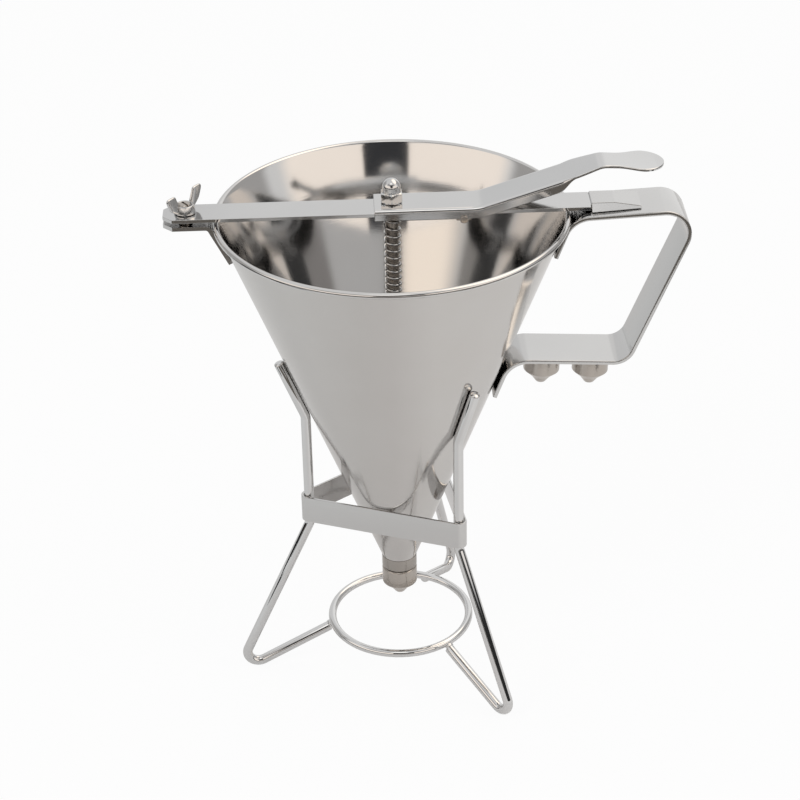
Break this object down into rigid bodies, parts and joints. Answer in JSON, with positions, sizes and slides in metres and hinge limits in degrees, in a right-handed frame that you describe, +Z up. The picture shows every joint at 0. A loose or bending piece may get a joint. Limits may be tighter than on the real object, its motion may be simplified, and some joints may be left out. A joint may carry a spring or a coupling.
{
  "type": "dispensing funnel",
  "caption": "Stainless steel dispensing funnel with a lever-worked plunger valve, strap handle, screw-on nozzles and a wire stand.",
  "frame": {"origin": "on the funnel's axis, at the height of the floor under the three feet", "axes": "+Z up along the funnel's axis, +X toward the handle, +Y away from the side that the picture shows"},
  "size_m": [0.249, 0.17, 0.2774],
  "materials": {
    "satin_steel": "satin",
    "strap_steel": "polished",
    "polished_steel": "mirror polished",
    "wire_steel": "mirror polished",
    "spring_steel": "drawn wire"
  },
  "bodies": {
    "stand": {"leg_front_left": "wire_steel", "leg_front_right": "wire_steel", "leg_back": "wire_steel", "stand_band": "strap_steel", "base_ring": "wire_steel"},
    "funnel": {"cone": "satin_steel", "spout_socket": "satin_steel", "handle_strap": "strap_steel", "stud_left": "satin_steel", "stud_right": "satin_steel", "bridge_socket": "strap_steel", "bridge_bar": "polished_steel", "ear_bracket": "strap_steel", "clamp_bolt": "satin_steel", "pivot_saddle": "satin_steel", "spring_seat": "satin_steel", "spring": "spring_steel"},
    "lever": {"lever": "polished_steel", "pivot_pin": "satin_steel"},
    "plunger": {"rod": "satin_steel", "acorn_nut": "polished_steel", "valve_tip": "satin_steel", "spring_collar": "satin_steel", "retaining_clip": "spring_steel"},
    "wing_nut": {"wing_nut": "polished_steel"},
    "nozzle": {"nozzle": "satin_steel"},
    "spare_nozzle_left": {"spare_nozzle_left": "satin_steel"},
    "spare_nozzle_right": {"spare_nozzle_right": "satin_steel"}
  },
  "joints": [
    {"name": "funnel_lift", "type": "slide", "parent": "stand", "child": "funnel", "axis": [0, 0, 1], "range_m": [0, 0.17]},
    {"name": "lever_press", "type": "hinge", "parent": "funnel", "child": "lever", "pos_m": [0.0337, 0, 0.2546], "axis": [0, 1, 0], "range_deg": [0, 8]},
    {"name": "plunger_lift", "type": "slide", "parent": "funnel", "child": "plunger", "axis": [0, 0, 1], "range_m": [0, 0.0054], "stiffness_N_per_m": 200, "springref_m": -0.006, "deforming": ["spring"]},
    {"name": "wing_nut_turn", "type": "hinge", "parent": "funnel", "child": "wing_nut", "pos_m": [-0.0975, 0, 0.26], "axis": [0, 0, 1], "continuous": true},
    {"name": "nozzle_turn", "type": "hinge", "parent": "funnel", "child": "nozzle", "pos_m": [0, 0, 0.05], "axis": [0, 0, 1], "continuous": true},
    {"name": "spare_nozzle_left_turn", "type": "hinge", "parent": "funnel", "child": "spare_nozzle_left", "pos_m": [0.0725, 0, 0.17651], "axis": [0.0509, 0, 0.9987], "continuous": true},
    {"name": "spare_nozzle_right_turn", "type": "hinge", "parent": "funnel", "child": "spare_nozzle_right", "pos_m": [0.0965, 0, 0.17528], "axis": [0.0509, 0, 0.9987], "continuous": true}
  ],
  "couplings": [
    {"joint": "lever_press", "follows": "plunger_lift", "rad_per_m": 25.84}
  ]
}
